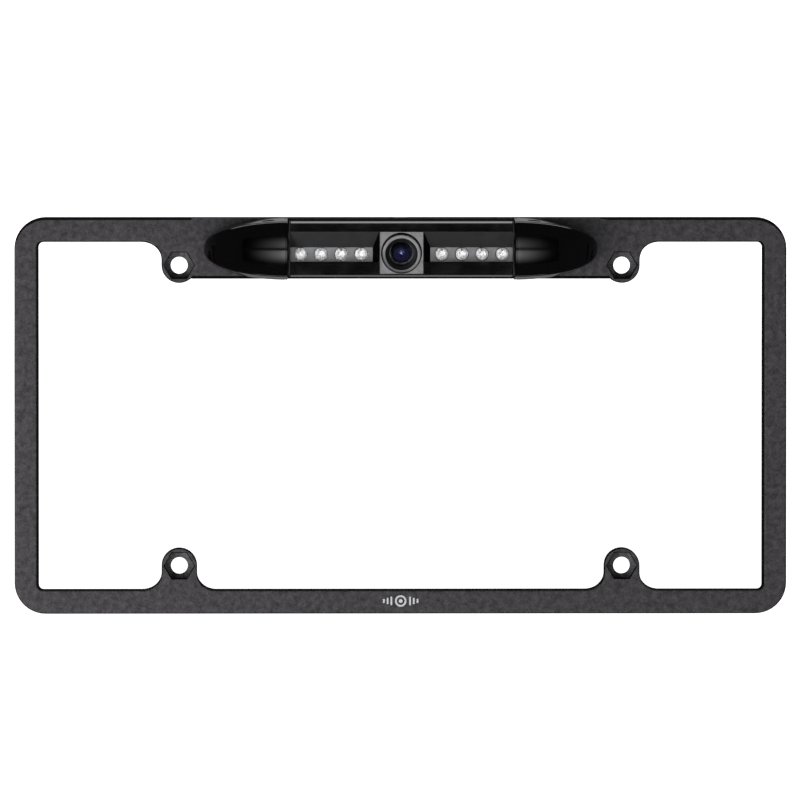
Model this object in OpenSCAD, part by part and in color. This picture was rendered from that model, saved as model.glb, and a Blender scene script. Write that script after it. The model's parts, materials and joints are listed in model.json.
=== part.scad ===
// Plate frame with a tilting camera bar. Millimetres, +Z up, front towards -Y.
// Origin: centre of the four plate screws, on the rear face of the screw tabs.

/* [Frame] */
// Overall width of the frame
frame_w = 310; // [308:0.5:316]
// Top edge above the centre of the screw pattern
frame_top = 79.7; // [79:0.1:82]
// Bottom edge below the centre of the screw pattern
frame_bot = 79.6; // [79:0.1:83]
// Depth from the front face to the seat of the plate
frame_d = 7; // [6:0.5:9]
// Outer corner radius
frame_r = 12.5; // [8:0.5:16]
// Width of the left and right bars
side_w = 8.8; // [8.2:0.1:9.6]
// Height of the top bar
top_w = 9.5; // [9:0.1:11]
// Height of the bottom bar
bottom_w = 9.2; // [8.6:0.1:10]
// Height of the wide band behind the camera bar
band_h = 24; // [24:0.1:25.2]
// Thickness of the front wall
wall_front = 2.2; // [1.8:0.1:2.8]
// Height of the rim that wraps the plate's edge
rim_h = 1.2; // [0.8:0.1:1.6]

/* [Plate screws] */
// Spacing across
hole_x = 177.8; // [177.8:0.1:178.4]
// Spacing up
hole_z = 120.65; // [118.4:0.05:120.8]
// Diameter of the screw holes
hole_d = 6.8; // [6.4:0.1:7]
// Radius of the screw tabs
tab_r = 7.1; // [6.9:0.1:7.5]
// Hexagonal pocket across flats
hex_af = 10.4; // [10.2:0.1:10.8]
// Depth of the hexagonal pocket
hex_d = 3; // [3:0.25:4.5]

/* [Camera bar] */
// Length of the bar between its end plates
bar_l = 89; // [88.8:0.1:89.2]
// Radius of the rear of the bar
bar_r = 11.15; // [11:0.05:11.3]
// Distance from the tilt axis to the flat front
bar_f = 8.2; // [8:0.1:8.6]
// Height of the tilt axis above the screw pattern's centre
axis_z = 67; // [66.9:0.1:67.2]
// Clearance between the bar and the frame
bar_gap = 0.65; // [0.5:0.05:1]
// Downward aim of the lens, in degrees
lens_aim = 10; // [8:1:10]
// Spacing of the lamps
led_pitch = 8.06; // [7.8:0.02:8.1]

/* [End housings] */
// Distance from the middle to each housing's inner face
house_in = 45.4; // [45.4:0.1:46]
// Distance from the middle to each housing's tip
house_tip = 79; // [78:0.1:81]
// Half height at the inner face
house_h = 12.5; // [12.4:0.1:12.8]
// Depth in front of the frame
house_d = 21; // [20.8:0.1:21.4]
// Diameter of the pivot journals
journal_d = 8; // [7:0.5:8]
// Distance from the middle to the clamp screws
clamp_x = 53.4; // [53:0.1:54]

/* [Hidden] */
$fn = 64;

hx = hole_x / 2;
hz = hole_z / 2;
front = -frame_d;
axis_y = front - bar_gap - bar_r;
band_z = frame_top - band_h;          // lower edge of the wide band
top_z = frame_top - top_w;            // lower edge of the top bar
bot_z = -frame_bot + bottom_w;        // upper edge of the bottom bar
fil_t = 7.8;                          // blend beside the upper tabs
fil_b = 7.4;                          // blend beside the lower tabs
bar_h = 11;                           // half height of the bar's front
bar_c = sqrt(bar_r * bar_r - bar_h * bar_h); // where the round rear meets the flat top
bar_e = bar_l / 2;
face_y = -bar_f + 3;                  // front of the lamp bezels, from the axis
win_t = 6.85; win_m = 0.7; win_b = -5;// lamp window: top, foot of the hood, sill
win_in = 11.5; win_in0 = 8.95;        // lamp window's inner end, deep and at the front
lens_z = -2.05;                       // lens centre, from the axis
led_z = -1.95;
led_x0 = 16.1;
blk_w = 8.7; blk_t = 6.9; blk_b = -9.9;
jr = journal_d / 2;
plate_w = 306; plate_h = 154;         // recess for a 304.8 x 152.4 plate
slot_w = 13; slot_h = 18.4;           // cable slot behind the bar
slot_cz = axis_z;

module at_axis() translate([0, axis_y, axis_z]) children();
module at_lens() at_axis() translate([0, -6.9, lens_z]) rotate([lens_aim, 0, 0]) children();
// a profile drawn as (y, z), pushed along X from x0 to x1
module along_x(x0, x1) translate([x0, 0, 0]) rotate([90, 0, 90]) linear_extrude(x1 - x0) children();
// a profile drawn as (x, z), pushed along Y from y0 to y1
module along_y(y0, y1) translate([0, y1, 0]) rotate([90, 0, 0]) linear_extrude(y1 - y0) children();
// a profile drawn as (radius, depth behind the lens's front), turned about the lens axis
module turned() rotate([-90, 0, 0]) rotate_extrude() children();
module rod_y(r, y0, y1) translate([0, y0, 0]) rotate([-90, 0, 0]) cylinder(r = r, h = y1 - y0);
module rod_x(r, x0, x1) translate([x0, 0, 0]) rotate([0, 90, 0]) cylinder(r = r, h = x1 - x0);
module box(a, b) translate(a) cube(b - a);

// ---------- frame ----------
module round_rect(x, z0, z1, r) union() {
  translate([-x, z0 + r]) square([2 * x, z1 - z0 - 2 * r]);
  translate([-x + r, z0]) square([2 * (x - r), z1 - z0]);
  for (sx = [-1, 1], z = [z0 + r, z1 - r]) translate([sx * (x - r), z]) circle(r);
}
module outer_2d(g = 0) round_rect(frame_w / 2 - g, -frame_bot + g, frame_top - g, frame_r - g);
// what stands into the window, drawn g smaller
module tabs_2d(g) for (s = [-1, 1]) scale([s, 1]) {
  translate([0, band_z + g]) square([hx, 80 - band_z - g - 5]);
  translate([hx, hz]) circle(tab_r - g);
  translate([hx - 2, hz]) square([2 + tab_r - g, top_z + 3 - hz]);
  difference() {
    translate([hx + tab_r - g - 1, top_z - fil_t]) square([fil_t + g + 1, fil_t + 3]);
    translate([hx + tab_r + fil_t, top_z - fil_t]) circle(fil_t + g);
  }
  translate([hx, -hz]) circle(tab_r - g);
  translate([hx - tab_r + g, bot_z - 3]) square([2 * (tab_r - g), -hz - bot_z + 3]);
  for (k = [-1, 1]) difference() {
    translate([hx + k * (tab_r - g + fil_b / 2 + g / 2 - 0.5) - (fil_b + g + 1) / 2, bot_z - 3]) square([fil_b + g + 1, fil_b + 3]);
    translate([hx + k * (tab_r + fil_b), bot_z + fil_b]) circle(fil_b + g);
  }
}
module window_2d(g = 0) difference() {
  round_rect(frame_w / 2 - side_w + g, bot_z - g, top_z + g, 2.6 + g);
  tabs_2d(g);
}
house_screws = [[66, 0], [51.6, 7.9], [51.6, -7.9]];
module boss_2d() {
  for (sx = [-1, 1], sz = [-1, 1]) translate([sx * hx, sz * hz]) circle(tab_r);
  for (s = [-1, 1], p = house_screws) translate([s * p[0], axis_z + p[1]]) circle(4.2);
  translate([-slot_w / 2 - 1.6, slot_cz - slot_h / 2 - 1.2]) square([slot_w + 3.2, slot_h + 2.4]);
}
module ribs_2d() {
  for (x = [-120, -60, -20, 20, 60, 120]) translate([x - 0.6, -frame_bot + 1]) square([1.2, bottom_w - 1.5]);
  for (x = [-125, 125]) translate([x - 0.6, top_z + 0.5]) square([1.2, top_w - 1]);
  for (x = [-75, -33, 33, 75]) translate([x - 0.6, band_z + 0.5]) square([1.2, band_h - 1]);
  for (s = [-1, 1], z = [-40, 0, 40]) translate([s * (frame_w - side_w) / 2 - side_w / 2 + 0.5, z - 0.6]) square([side_w - 1, 1.2]);
}
module plate_frame() color([0.13, 0.13, 0.135]) difference() {
  union() {
    along_y(front, 0) difference() { outer_2d(); window_2d(); }
    along_y(-1, rim_h) difference() { outer_2d(); round_rect(plate_w / 2, -plate_h / 2, plate_h / 2, 10); }
  }
  along_y(front + wall_front, 0.5) difference() {
    intersection() { outer_2d(2.4); round_rect(plate_w / 2 - 1, -plate_h / 2 + 0.6, plate_h / 2 - 0.2, 9.5); }
    window_2d(1.6);
    boss_2d();
    ribs_2d();
  }
  for (sx = [-1, 1], sz = [-1, 1]) translate([sx * hx, 0, sz * hz]) {
    rod_y(hole_d / 2, front - 1, 1);
    translate([0, front - 1, 0]) rotate([-90, 0, 0]) cylinder(d = hex_af / cos(30), h = hex_d + 1, $fn = 6);
  }
  for (s = [-1, 1], p = house_screws) translate([s * p[0], 0, axis_z + p[1]]) {
    rod_y(1.7, front - 1, 1);
    rod_y(3, front + wall_front, 1);
  }
  // opening behind the bar for its cable, and the way out over the plate
  along_y(front - 1, 1) translate([-slot_w / 2, slot_cz - slot_h / 2]) square([slot_w, slot_h]);
  along_y(front + 2.4, rim_h + 1) translate([-2.7, slot_cz]) square([5.4, 20]);
}
module printed_mark() color([0.62, 0.63, 0.66]) {
  zc = -frame_bot + bottom_w / 2 + 0.5;
  along_y(front - 0.12, front) {
    translate([0, zc]) difference() { circle(2.3); circle(1.6); }
    translate([0, zc]) circle(0.75);
    for (s = [-1, 1]) scale([s, 1]) for (k = [0, 1, 2]) translate([3.4 + 1.5 * k, zc - 1.7 + 0.45 * k]) square([0.7, 3.4 - 0.9 * k]);
  }
}

// ---------- end housings ----------
function clampv(x, a, b) = max(a, min(b, x));
// half height and depth of the housing's section at u mm from its tip
function hh(u) = house_h * pow(1 - pow(1 - u / (house_tip - house_in), 2), 1 / 2.3);
function hd(u) = house_d * pow(1 - pow(1 - u / (house_tip - house_in), 2.2), 1 / 1.9);
draft = 4.3; bow = 1.5; edge = 1.1;
// section as [depth, height] pairs, from the foot of the lower side to the foot of the upper side
function section(h, d) =
  let (e = min(edge, 0.22 * min(h, d)), b = bow * d / house_d,
       hf = h - (d - b) * tan(draft), r = (hf * hf + b * b) / (2 * b),
       up = [for (k = [1:7]) let (z = (hf - e) * k / 7) [d - r + sqrt(r * r - z * z), z]],
       c = [up[6][0] - e * 0.92, hf - e * 1.02],
       arc = [for (a = [30, 60, 84]) [c[0] + e * cos(a), c[1] + e * sin(a)]],
       half = concat([[d, 0]], up, arc, [[0, h]]))
  concat([for (k = [len(half) - 1:-1:1]) [half[k][0], -half[k][1]]], half);
function stations() = [0.12, 0.5, 1.2, 2.4, 4, 6, 8.5, 11.5, 15, 19, 23.5, 28, house_tip - house_in];
module loft(rows) {
  n = len(rows[0]); m = len(rows);
  polyhedron(points = [for (r = rows, p = r) p],
    faces = concat([[for (i = [0:n - 1]) i]], [[for (i = [n - 1:-1:0]) (m - 1) * n + i]],
      [for (j = [0:m - 2], i = [0:n - 1]) let (a = j * n + i, b = j * n + (i + 1) % n) each [[a, a + n, b], [b, a + n, b + n]]]));
}
module house_body(s, t) loft([for (u = stations()) if (t == 0 || (u > 4.5 && u < house_tip - house_in - 1))
  let (sec = section(max(hh(u) - t, 0.1), max(hd(u) - t, 0.1)), x = house_tip - u)
  [for (i = [0:len(sec) - 1]) let (k = s > 0 ? i : len(sec) - 1 - i, p = sec[k]) [s * x, front - p[0] + (t > 0 ? 0.2 : 0), axis_z + (t > 0 ? p[1] : p[1])]]]);
module end_housing(s) color([0.03, 0.03, 0.032]) difference() {
  union() {
    difference() {
      house_body(s, 0);
      intersection() { house_body(s, 2.2); box([s > 0 ? house_in + 3 : -house_tip, front - house_d, axis_z - 12], [s > 0 ? house_tip : -house_in - 3, front + 0.1, axis_z + 12]); }
    }
    at_axis() {
      rod_x(6.6, s > 0 ? house_in + 1 : -59.4, s > 0 ? 59.4 : -house_in - 1);
      translate([s * clamp_x, 0, 3]) cylinder(r = 4.2, h = 7.6);
      for (p = house_screws) translate([s * p[0], 0, p[1]]) rod_y(2.9, p[1] == 0 ? -2 : 1, -axis_y + front);
    }
  }
  at_axis() {
    rod_x(jr + 0.06, s > 0 ? house_in - 1 : -60, s > 0 ? 60 : -house_in + 1);
    translate([s * clamp_x, 0, 0]) cylinder(r = 2.05, h = 20);
    translate([s * clamp_x, 0, 9.6]) cylinder(r = 2.6, h = 10);
    for (p = house_screws) translate([s * p[0], 0, p[1]]) rod_y(1.5, -axis_y + front - 7, -axis_y + front + 1);
  }
}
module end_housing_left() end_housing(-1);
module end_housing_right() end_housing(1);
module housing_screws() color([0.62, 0.62, 0.6]) for (s = [-1, 1], p = house_screws)
  translate([s * p[0], front + wall_front, axis_z + p[1]]) difference() {
    union() { rod_y(2.75, 0, 1.9); rod_y(1.5, -wall_front - 6.5, 0.1); }
    for (a = [0, 90]) rotate([0, a, 0]) translate([-1.5, 0.9, -0.3]) cube([3, 2, 0.6]);
  }
module clamp_screw(s) color([0.2, 0.2, 0.2]) at_axis() translate([s * clamp_x, 0, jr + 0.85]) difference() {
  cylinder(r = 2, h = 5.5);
  translate([0, 0, 3]) cylinder(r = 1.155, h = 5, $fn = 6);
}
module clamp_screw_left() clamp_screw(-1);
module clamp_screw_right() clamp_screw(1);
module clamp_pad(s) color([0.75, 0.6, 0.3]) at_axis() translate([s * clamp_x, 0, jr + 0.05]) cylinder(r = 1.9, h = 0.75);
module clamp_pad_left() clamp_pad(-1);
module clamp_pad_right() clamp_pad(1);

// ---------- camera bar ----------
module bar_2d() union() {
  intersection() { circle(bar_r, $fn = 128); translate([-bar_c, -20]) square(40); }
  translate([-bar_f, -bar_h + 1.3]) square([bar_f - bar_c, 2 * bar_h - 2.6]);
  translate([-bar_f + 1.3, -bar_h]) square([bar_f - bar_c - 1.3, 2 * bar_h]);
  for (s = [-1, 1]) translate([-bar_f + 1.3, s * (bar_h - 1.3)]) circle(1.3);
}
part_y = 3;                            // joint between shell and rear cover
seal_t = 0.8;
cover_screws = [[-30, 7.4], [30, 7.4], [-30, -7.4], [30, -7.4]];
module bar_shell() color([0.03, 0.03, 0.032]) at_axis() difference() {
  union() {
    difference() {
      along_x(-bar_e, bar_e) intersection() { bar_2d(); translate([-20, -20]) square([20 + part_y, 40]); }
      box([-bar_e - 1, face_y, -9.3], [bar_e + 1, part_y + 1, 9.3]);
    }
    for (p = cover_screws) translate([p[0], 0, p[1]]) rod_y(2.2, -3, part_y);
    for (s = [-1, 1], t = [-1, 1]) translate([s * 40, 0, t * 8]) box([-1, -3, -1.6], [1, part_y, 1.6]);
  }
  for (p = cover_screws) translate([p[0], 0, p[1]]) rod_y(1, -2, part_y + 1);
  // lamp windows: a flared inner end, under a sloping hood
  for (s = [-1, 1]) intersection() {
    translate([0, 0, -12]) linear_extrude(24) scale([s, 1])
      polygon([[win_in, face_y + 1], [win_in, face_y], [win_in0 - 0.17, -bar_f - 0.2], [bar_e + 1, -bar_f - 0.2], [bar_e + 1, face_y + 1]]);
    along_x(-bar_e - 1, bar_e + 1) polygon([[face_y + 1, win_b], [face_y + 1, win_m], [face_y, win_m], [-bar_f - 0.2, win_t + 0.41], [-bar_f - 0.2, win_b]]);
  }
  box([-blk_w - 0.05, -bar_f - 1, blk_b - 0.05], [blk_w + 0.05, face_y + 1, blk_t + 0.05]);
}
module bar_rear_cover() color([0.05, 0.05, 0.055]) at_axis() difference() {
  union() {
    along_x(-bar_e, bar_e) difference() {
      intersection() { circle(bar_r, $fn = 128); translate([part_y + seal_t, -20]) square([20, 40]); }
      circle(9.45, $fn = 128);
      translate([0, -9.3]) square([5.5, 18.6]);
    }
    for (p = cover_screws) intersection() {
      translate([p[0], 0, p[1]]) rod_y(2.4, part_y + seal_t, 12);
      rod_x(bar_r - 0.5, -bar_e, bar_e);
    }
  }
  for (p = cover_screws) translate([p[0], 0, p[1]]) { rod_y(1.15, 0, 12); rod_y(2, 6.2, 12); }
  rod_y(3.2, 5, 14);
}
module bar_gasket() color([0.09, 0.09, 0.09]) at_axis() difference() {
  box([-bar_e, part_y, -10.45], [bar_e, part_y + seal_t, 10.45]);
  box([-bar_e - 1, part_y - 1, -9.3], [bar_e + 1, part_y + 2, 9.3]);
}
module rear_cover_screws() color([0.6, 0.6, 0.6]) at_axis() for (p = cover_screws) translate([p[0], 0, p[1]]) difference() {
  union() { rod_y(1.9, 6.2, 7.5); rod_y(1, -1.8, 6.3); }
  for (a = [0, 90]) rotate([0, a, 0]) box([-1.1, 6.9, -0.25], [1.1, 9, 0.25]);
}
module cable_gland() color([0.07, 0.07, 0.07]) at_axis() difference() {
  union() {
    rod_y(3.2, 8.2, 13.2);
    rod_y(4.2, bar_r, 12.4);
    intersection() { rod_y(4.2, 8.2, 9.4); rod_x(9.3, -5, 5); }
  }
  rod_y(2.1, 7, 20);
}
module pivot_plug(s) color([0.35, 0.35, 0.36]) at_axis() scale([s, 1, 1]) {
  along_x(bar_e, bar_e + 0.4) bar_2d();
  difference() {
    rod_x(8.9, bar_e - 1.2, bar_e + 0.2);
    box([bar_e - 2, -9, -9.2], [bar_e, -2.4, 9.2]);
    for (t = [-9.2, 4.5]) box([bar_e - 2, -3, t], [bar_e, 9.3, t + 4.7]);
  }
  rod_x(jr, bar_e + 0.2, 59.2);
}
module pivot_plug_left() mirror([1, 0, 0]) pivot_plug(1);
module pivot_plug_right() pivot_plug(1);
module friction_washer(s) color([0.45, 0.45, 0.46]) at_axis() difference() {
  rod_x(7.9, s > 0 ? bar_e + 0.4 : -bar_e - 0.8, s > 0 ? bar_e + 0.8 : -bar_e - 0.4);
  rod_x(jr + 0.1, s > 0 ? bar_e : -bar_e - 2, s > 0 ? bar_e + 2 : -bar_e);
}
module friction_washer_left() friction_washer(-1);
module friction_washer_right() friction_washer(1);

// ---------- lamps ----------
led_xs = [for (k = [0:3]) led_x0 + led_pitch * k];
module led_bezel(s) color([0.4, 0.4, 0.41]) at_axis() difference() {
  box([s > 0 ? win_in - 0.8 : -bar_e + 0.02, face_y + 0.01, -6.6], [s > 0 ? bar_e - 0.02 : -win_in + 0.8, face_y + 1.2, 2.4]);
  for (x = led_xs) translate([s * x, 0, led_z]) rod_y(2.75, -10, 0);
}
module led_bezel_left() led_bezel(-1);
module led_bezel_right() led_bezel(1);
module leds(s) color([0.85, 0.86, 0.88, 0.6]) at_axis() for (x = led_xs) translate([s * x, 0, led_z]) difference() {
  union() {
    translate([0, -4.5, 0]) sphere(2.5);
    rod_y(2.5, -4.5, 1.6);
    rod_y(2.9, 0.6, 1.6);
  }
  rod_y(1.25, -2.6, 1.7);
}
module leds_left() leds(-1);
module leds_right() leds(1);
module led_dies(s) color([0.8, 0.8, 0.78]) at_axis() for (x = led_xs) translate([s * x, 0, led_z]) difference() {
  rod_y(1.2, -2.55, 1.6);
  translate([0, -2.6, 0]) rotate([-90, 0, 0]) cylinder(r1 = 1.05, r2 = 0.5, h = 0.8);
}
module led_dies_left() led_dies(-1);
module led_dies_right() led_dies(1);
module led_board(s) color([0.1, 0.3, 0.16]) at_axis() box([s > 0 ? 13 : -43, 1.65, -5.1], [s > 0 ? 43 : -13, 2.85, 3.3]);
module led_board_left() led_board(-1);
module led_board_right() led_board(1);
module led_resistors() color([0.12, 0.12, 0.13]) at_axis() for (s = [-1, 1], k = [0:3])
  translate([s * (led_x0 + led_pitch * k), 2.85, 1.6]) translate([-1, 0, -0.6]) cube([2, 0.6, 1.2]);
module led_solder_tails() color([0.75, 0.75, 0.73]) at_axis() for (s = [-1, 1], x = led_xs, t = [-1.27, 1.27])
  translate([s * x + t, 2.85, led_z]) rotate([-90, 0, 0]) cylinder(r1 = 0.8, r2 = 0.3, h = 0.9);
module light_wires() color([0.6, 0.1, 0.1]) at_axis() for (s = [-1, 1], t = [0, 1])
  translate([0, 4.6 + 1.1 * t, -3.9]) rod_x(0.45, s > 0 ? 6.5 : -38, s > 0 ? 38 : -6.5);

// ---------- camera ----------
module camera_block() color([0.4, 0.4, 0.41]) at_axis() difference() {
  union() {
    box([-blk_w, -bar_f + 0.4, blk_b], [blk_w, -2, blk_t]);
    box([-10.6, face_y + 0.02, -4.2], [10.6, -3.6, 0.2]);
  }
  translate([0, 0, lens_z + 0.5]) rod_y(8.2, -12, 0);
  box([-12, -6, -12], [12, 0, -9.25]);
}
module lens_barrel() color([0.42, 0.42, 0.43]) at_lens() turned() polygon([
  [6.7, 0], [7.45, 0], [7.75, 0.3], [7.75, 2.4], [5.9, 2.4], [5.9, 8.6], [3.4, 8.6], [3.4, 8.3],
  [4, 8.3], [4, 4.4], [5.2, 4.4], [5.2, 2], [6.5, 2], [6.5, 0.2]]);
module barrel_seal() color([0.05, 0.05, 0.05]) at_lens() turned() translate([6.45, 3]) circle(0.54, $fn = 24);
module lens_retainer() color([0.04, 0.04, 0.04]) at_lens() turned() polygon([
  [5, 1.1], [6.1, 0.8], [6.45, 1], [6.45, 1.98], [5.15, 1.98], [5.15, 2.6], [4.85, 2.6], [4.85, 1.3]]);
module front_lens() color([0.1, 0.1, 0.25, 0.6]) at_lens() difference() {
  intersection() {
    rod_y(5.15, 0, 4.35);
    translate([0, 6.4, 0]) sphere(6, $fn = 96);
  }
  translate([0, 6.2, 0]) sphere(3.9, $fn = 96);
}
module aperture_stop() color([0.03, 0.03, 0.03]) at_lens() difference() { rod_y(3.95, 4.45, 4.65); rod_y(1.7, 4, 5); }
module biconvex(r, y0, y1, rs) turned() intersection() {
  translate([0, y0]) square([r, y1 - y0]);
  translate([0, y0 + rs]) circle(rs, $fn = 96);
  translate([0, y1 - rs]) circle(rs, $fn = 96);
}
module second_lens() color([0.25, 0.2, 0.5, 0.6]) at_lens() biconvex(3.95, 4.7, 6.2, 13);
module lens_spacer() color([0.05, 0.05, 0.05]) at_lens() difference() { rod_y(3.95, 6.05, 6.75); rod_y(3.3, 5, 8); }
module rear_lens() color([0.25, 0.25, 0.4, 0.6]) at_lens() biconvex(3.95, 6.6, 8.25, 12);
module lens_holder() color([0.05, 0.05, 0.05]) at_lens() difference() {
  union() { rod_y(6.55, 5.6, 9.2); box([-6.5, 9, -6.5], [6.5, 10.9, 6.5]); }
  rod_y(5.95, 5, 8.8);
  rod_y(3.8, 8, 9.6);
  box([-3.7, 9.3, -3.7], [3.7, 12, 3.7]);
}
module ir_cut_filter() color([0.6, 0.75, 0.8, 0.5]) at_lens() box([-3.6, 9.32, -3.6], [3.6, 9.72, 3.6]);
module image_sensor() color([0.2, 0.2, 0.25]) at_lens() box([-3.5, 9.95, -3.5], [3.5, 10.9, 3.5]);
module camera_board() color([0.1, 0.3, 0.16]) at_lens() box([-6.5, 10.92, -6.5], [6.5, 12, 6.5]);
module board_parts() color([0.5, 0.42, 0.3]) at_lens() {
  for (p = [[-4.6, 4.2], [-2.2, 4.2], [4, 4], [4, 1.4], [-4.8, -4.6]]) translate([p[0] - 0.8, 12, p[1] - 0.5]) cube([1.6, 0.7, 1]);
  box([-2.4, 12, -1.6], [1.6, 12.8, 2.2]);
}
module board_connector() color([0.85, 0.83, 0.76]) at_lens() difference() {
  box([-3.4, 12, -6], [3.4, 13.4, -3]);
  box([-2.8, 12.4, -5.4], [2.8, 14.2, -3.6]);
}

plate_frame();
printed_mark();
end_housing_left();
end_housing_right();
housing_screws();
clamp_screw_left();
clamp_screw_right();
clamp_pad_left();
clamp_pad_right();
bar_shell();
bar_rear_cover();
bar_gasket();
rear_cover_screws();
cable_gland();
pivot_plug_left();
pivot_plug_right();
friction_washer_left();
friction_washer_right();
led_bezel_left();
led_bezel_right();
leds_left();
leds_right();
led_dies_left();
led_dies_right();
led_board_left();
led_board_right();
led_resistors();
led_solder_tails();
light_wires();
camera_block();
lens_barrel();
barrel_seal();
lens_retainer();
front_lens();
aperture_stop();
second_lens();
lens_spacer();
rear_lens();
lens_holder();
ir_cut_filter();
image_sensor();
camera_board();
board_parts();
board_connector();
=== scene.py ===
import bpy, bmesh, json, math
from mathutils import Vector, Matrix
from mathutils.geometry import delaunay_2d_cdt

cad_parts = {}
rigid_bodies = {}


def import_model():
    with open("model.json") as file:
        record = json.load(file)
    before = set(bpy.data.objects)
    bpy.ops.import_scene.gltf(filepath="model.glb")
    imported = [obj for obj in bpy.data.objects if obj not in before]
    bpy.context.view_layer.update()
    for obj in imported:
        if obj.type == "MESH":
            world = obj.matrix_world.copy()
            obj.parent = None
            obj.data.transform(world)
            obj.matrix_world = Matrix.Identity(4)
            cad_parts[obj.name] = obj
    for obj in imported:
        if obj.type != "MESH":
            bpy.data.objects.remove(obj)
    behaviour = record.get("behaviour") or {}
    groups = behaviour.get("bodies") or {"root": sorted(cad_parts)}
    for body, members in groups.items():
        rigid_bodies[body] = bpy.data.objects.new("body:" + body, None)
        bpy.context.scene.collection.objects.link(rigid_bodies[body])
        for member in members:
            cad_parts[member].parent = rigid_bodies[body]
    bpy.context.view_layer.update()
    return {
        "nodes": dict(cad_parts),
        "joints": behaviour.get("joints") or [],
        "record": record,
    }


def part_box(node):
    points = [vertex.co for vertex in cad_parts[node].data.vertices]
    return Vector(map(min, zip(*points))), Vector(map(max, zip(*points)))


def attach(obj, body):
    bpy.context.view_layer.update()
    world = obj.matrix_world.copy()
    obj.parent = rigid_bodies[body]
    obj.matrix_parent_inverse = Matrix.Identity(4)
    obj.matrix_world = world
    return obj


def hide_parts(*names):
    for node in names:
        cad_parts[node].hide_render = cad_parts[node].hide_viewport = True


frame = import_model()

# ------------------------------------------------------------------ set up
NODES = frame["nodes"]
SC = bpy.context.scene
BODY = {n: b for b, ns in frame["record"]["behaviour"]["bodies"].items() for n in ns}
SLOT = {s["node"]: s["material_slot"] for s in frame["record"]["subparts"]}
MM = 0.001
tilt = next(j for j in frame["joints"] if j["name"] == "camera_bar_tilt")
AXIS_Y, AXIS_Z = tilt["pos_m"][1] / MM, tilt["pos_m"][2] / MM      # the tilt axis, in mm


def box_mm(node):
    lo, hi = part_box(node)
    return [c / MM for c in lo], [c / MM for c in hi]


# ------------------------------------------------------------------ materials
def socket(bsdf, name, value):
    if name in bsdf.inputs:
        bsdf.inputs[name].default_value = value


def surface(name, color, rough, metal=0.0, grain=0.3, bump=0.006, vary=0.1, patch=14.0, rvary=0.06,
            second=None, second_size=3.0, second_bump=0.0, specks=0.0, speck_color=(0.5, 0.5, 0.5), **extra):
    """Principled surface. grain, patch and second_size are feature sizes in mm, bump and second_bump their heights in mm."""
    m = bpy.data.materials.new(name)
    m.use_nodes = True
    nt = m.node_tree
    b = nt.nodes["Principled BSDF"]
    out = nt.nodes["Material Output"]
    tc = nt.nodes.new("ShaderNodeTexCoord")

    def noise_tex(size, detail=2.0, rough_=0.5, dist=0.0):
        n = nt.nodes.new("ShaderNodeTexNoise")
        n.inputs["Scale"].default_value = 1.0 / (size * MM)
        n.inputs["Detail"].default_value = detail
        n.inputs["Roughness"].default_value = rough_
        n.inputs["Distortion"].default_value = dist
        nt.links.new(tc.outputs["Object"], n.inputs["Vector"])
        return n

    def remap(src, lo, hi, a=0.3, c=0.7):
        r = nt.nodes.new("ShaderNodeMapRange")
        r.inputs["From Min"].default_value = a
        r.inputs["From Max"].default_value = c
        r.inputs["To Min"].default_value = lo
        r.inputs["To Max"].default_value = hi
        nt.links.new(src, r.inputs["Value"])
        return r.outputs["Result"]

    big = noise_tex(patch, 4.0, 0.6, 0.4)
    fine = noise_tex(grain, 2.0, 0.6)
    mix = nt.nodes.new("ShaderNodeMix")
    mix.data_type = "RGBA"
    d = tuple(min(1.0, c * (1 - vary)) for c in color)
    l = tuple(min(1.0, c * (1 + vary)) for c in (second or color))
    mix.inputs["A"].default_value = (*d, 1)
    mix.inputs["B"].default_value = (*l, 1)
    nt.links.new(remap(big.outputs["Fac"], 0.0, 1.0), mix.inputs["Factor"])
    col = mix.outputs["Result"]
    mix2 = nt.nodes.new("ShaderNodeMix")
    mix2.data_type = "RGBA"
    mix2.blend_type = "MULTIPLY"
    mix2.inputs["Factor"].default_value = 1.0
    ramp = nt.nodes.new("ShaderNodeValToRGB")
    ramp.color_ramp.elements[0].position = 0.3
    ramp.color_ramp.elements[0].color = (1 - vary, 1 - vary, 1 - vary, 1)
    ramp.color_ramp.elements[1].position = 0.7
    ramp.color_ramp.elements[1].color = (1, 1, 1, 1)
    nt.links.new(fine.outputs["Fac"], ramp.inputs["Fac"])
    nt.links.new(col, mix2.inputs["A"])
    nt.links.new(ramp.outputs["Color"], mix2.inputs["B"])
    col = mix2.outputs["Result"]
    if specks:
        dust = noise_tex(0.5, 0.0)
        mix3 = nt.nodes.new("ShaderNodeMix")
        mix3.data_type = "RGBA"
        mix3.inputs["B"].default_value = (*speck_color, 1)
        nt.links.new(remap(dust.outputs["Fac"], 0.0, specks, 0.76, 0.84), mix3.inputs["Factor"])
        nt.links.new(col, mix3.inputs["A"])
        col = mix3.outputs["Result"]
    nt.links.new(col, b.inputs["Base Color"])
    nt.links.new(remap(big.outputs["Fac"], max(0.01, rough - rvary), min(1.0, rough + rvary)), b.inputs["Roughness"])
    last = None
    if second_bump:
        wide = noise_tex(second_size, 1.0)
        b2 = nt.nodes.new("ShaderNodeBump")
        b2.inputs["Strength"].default_value = 1.0
        b2.inputs["Distance"].default_value = second_bump * MM
        nt.links.new(wide.outputs["Fac"], b2.inputs["Height"])
        last = b2
    if bump:
        b1 = nt.nodes.new("ShaderNodeBump")
        b1.inputs["Strength"].default_value = 1.0
        b1.inputs["Distance"].default_value = bump * MM
        nt.links.new(fine.outputs["Fac"], b1.inputs["Height"])
        if last:
            nt.links.new(last.outputs["Normal"], b1.inputs["Normal"])
        last = b1
    if last:
        nt.links.new(last.outputs["Normal"], b.inputs["Normal"])
    b.inputs["Metallic"].default_value = metal
    for k, v in extra.items():
        socket(b, k.replace("_", " "), v)
    return m


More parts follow.
